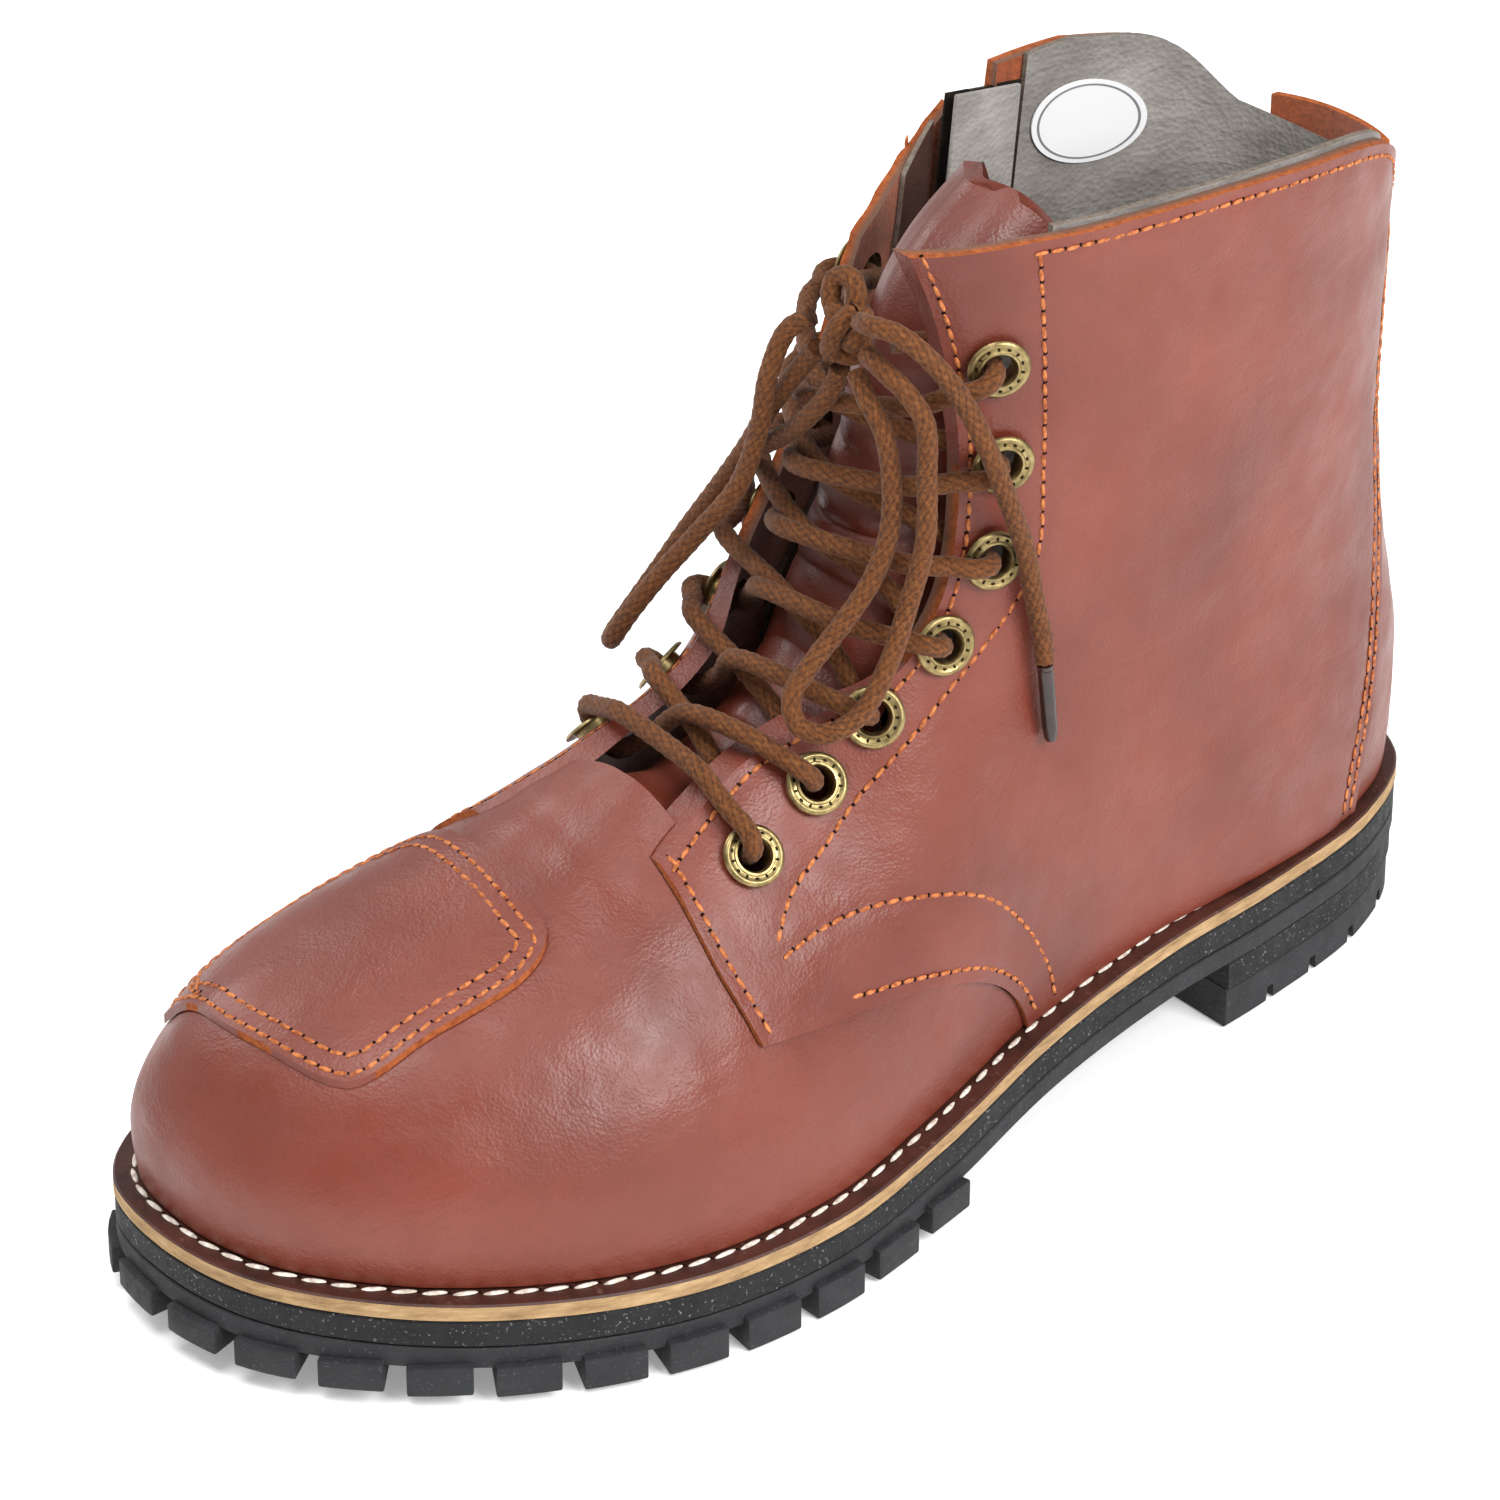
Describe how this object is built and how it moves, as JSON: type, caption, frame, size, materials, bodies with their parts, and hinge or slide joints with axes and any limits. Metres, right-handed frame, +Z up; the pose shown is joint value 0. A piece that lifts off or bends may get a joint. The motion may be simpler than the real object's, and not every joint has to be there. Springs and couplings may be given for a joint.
{
  "type": "laced side-zip boot",
  "caption": "Left ankle boot with lace-up front, inner side zip, welted lug sole, padded tongue, side facings with brass eyelets and a stitched toe patch.",
  "frame": {"origin": "on the ground under the middle of the boot's bounding box", "axes": "+Z up, the toe points along -Y and the heel along +Y, the outer (lateral) side of this left boot is +X and the inner (medial) side with the zip is -X"},
  "size_m": [0.1219, 0.301, 0.1982],
  "materials": {
    "upper_leather": "semi-gloss fine-grained reddish chestnut leather",
    "tongue_leather": "smooth chestnut leather over thin foam",
    "suede": "raw orange-brown suede side of the leather",
    "lining_leather": "matte grey pebbled lining leather",
    "stiffener": "fibre stiffener",
    "welt_leather": "tan edge-dressed welt strip with a dark oxblood top",
    "insole_board": "fibre board",
    "cork": "ground cork filler",
    "shank_steel": "sprung steel strip",
    "footbed": "grey lining over foam",
    "midsole_rubber": "matte black rubber",
    "outsole_rubber": "dark grey moulded rubber",
    "eyelet_brass": "antique brass with dark recesses",
    "lace_cord": "brown herringbone braid",
    "aglet": "glossy dark brown",
    "zip_tape": "black woven tape",
    "zip_metal": "dark nickel",
    "label_paper": "blank white film sticker"
  },
  "bodies": {
    "boot": {"welt": "welt_leather", "rubber_midsole": "midsole_rubber", "heel_lift": "midsole_rubber", "outsole": "outsole_rubber", "heel_block": "outsole_rubber", "cork_filler": "cork", "shank": "shank_steel", "insole_board": "insole_board", "footbed": "footbed", "quarter_lateral": "upper_leather", "quarter_medial_front": "upper_leather", "quarter_medial_rear": "upper_leather", "vamp": "upper_leather", "heel_panel": "upper_leather", "toe_patch": "upper_leather", "pull_tab": "suede", "toe_stiffener": "stiffener", "heel_counter": "stiffener", "vamp_lining": "lining_leather", "heel_lining": "lining_leather", "shaft_lining": "lining_leather", "medial_front_lining": "lining_leather", "zip_guard": "lining_leather", "tongue": "tongue_leather", "eyelet_lateral_1": "eyelet_brass", "eyelet_lateral_2": "eyelet_brass", "eyelet_lateral_3": "eyelet_brass", "eyelet_lateral_4": "eyelet_brass", "eyelet_lateral_5": "eyelet_brass", "eyelet_lateral_6": "eyelet_brass", "eyelet_lateral_7": "eyelet_brass", "eyelet_medial_1": "eyelet_brass", "eyelet_medial_2": "eyelet_brass", "eyelet_medial_3": "eyelet_brass", "eyelet_medial_4": "eyelet_brass", "eyelet_medial_5": "eyelet_brass", "eyelet_medial_6": "eyelet_brass", "eyelet_medial_7": "eyelet_brass", "zip_tape_front": "zip_tape", "zip_tape_rear": "zip_tape", "zip_teeth_front": "zip_metal", "zip_teeth_rear": "zip_metal", "zip_bottom_stop": "zip_metal", "care_label": "label_paper", "lace_laced": "lace_cord", "lace_knot": "lace_cord", "bow_loop_lateral": "lace_cord", "bow_loop_medial": "lace_cord", "lace_end_lateral": "lace_cord", "lace_end_medial": "lace_cord", "aglet_lateral": "aglet", "aglet_medial": "aglet"},
    "slider": {"zip_slider": "zip_metal"},
    "pull": {"zip_pull": "zip_metal"}
  },
  "joints": [
    {"name": "zip_slide", "type": "slide", "parent": "boot", "child": "slider", "axis": [0.0537, -0.1559, -0.9863], "range_m": [0, 0.106]},
    {"name": "zip_pull_hinge", "type": "hinge", "parent": "slider", "child": "pull", "pos_m": [-0.04152, 0.07272, 0.17881], "axis": [-0.0085, -0.9878, 0.1557], "range_deg": [-130, 0]}
  ]
}
